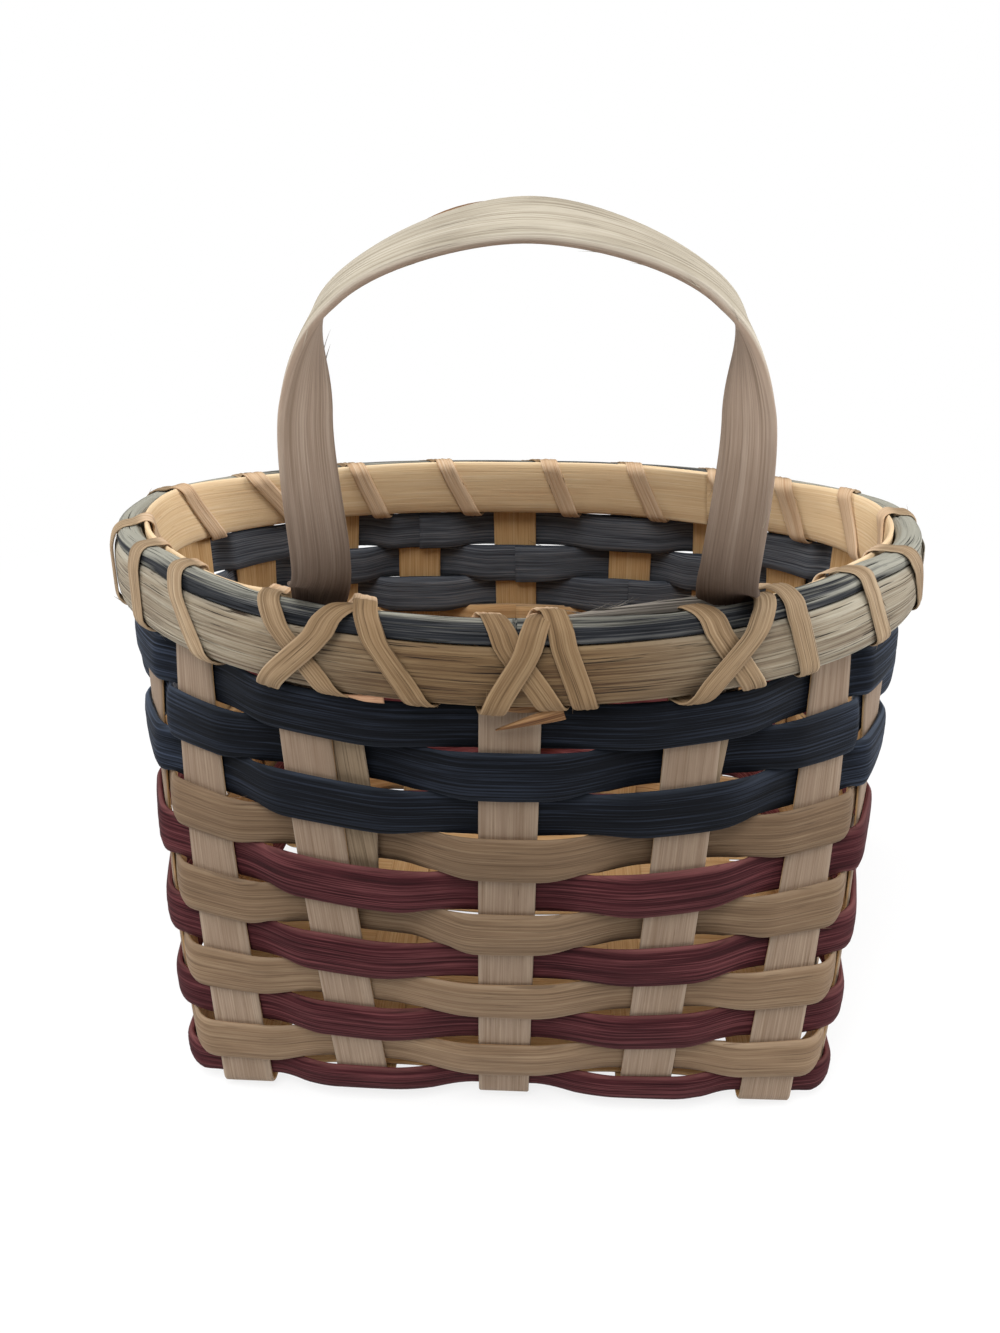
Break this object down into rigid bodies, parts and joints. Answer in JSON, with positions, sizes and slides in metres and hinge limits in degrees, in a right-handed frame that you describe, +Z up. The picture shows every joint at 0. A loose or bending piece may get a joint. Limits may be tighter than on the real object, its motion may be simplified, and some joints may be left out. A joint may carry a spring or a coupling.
{
  "type": "woven reed basket with handle",
  "caption": "Oval-rimmed basket woven from flat reed, with a bent handle lashed inside its long near wall; it stands on a flat woven base or hangs by the handle.",
  "frame": {"origin": "on the floor, under the middle of the whole basket", "axes": "+X along the basket's length, +Y from the near wall, which carries the handle, to the far wall, +Z up"},
  "size_m": [0.2546, 0.1732, 0.2664],
  "materials": {
    "stake_reed": "matte, bare split reed",
    "navy_reed": "matte, dyed",
    "burgundy_reed": "matte, dyed",
    "natural_reed": "matte, bare split reed",
    "band_reed": "satin, worn smooth",
    "smoked_reed": "matte, dyed and frayed",
    "handle_reed": "satin, worn smooth"
  },
  "bodies": {
    "root": {"cross_stake_1": "stake_reed", "cross_stake_2": "stake_reed", "cross_stake_3": "stake_reed", "cross_stake_4": "stake_reed", "cross_stake_5": "stake_reed", "long_stake_1": "stake_reed", "long_stake_2": "stake_reed", "long_stake_3": "stake_reed", "long_stake_4": "stake_reed", "base_filler_1": "stake_reed", "base_filler_2": "stake_reed", "base_filler_3": "stake_reed", "weaver_row_01": "navy_reed", "weaver_row_02": "navy_reed", "weaver_row_03": "navy_reed", "weaver_row_04": "natural_reed", "weaver_row_05": "burgundy_reed", "weaver_row_06": "natural_reed", "weaver_row_07": "burgundy_reed", "weaver_row_08": "natural_reed", "weaver_row_09": "burgundy_reed", "weaver_row_10": "natural_reed", "weaver_row_11": "burgundy_reed", "rim_weaver": "natural_reed", "outer_rim_band": "band_reed", "inner_rim_band": "band_reed", "rim_filler": "smoked_reed", "rim_lashing": "natural_reed", "handle": "handle_reed"}
  },
  "joints": []
}
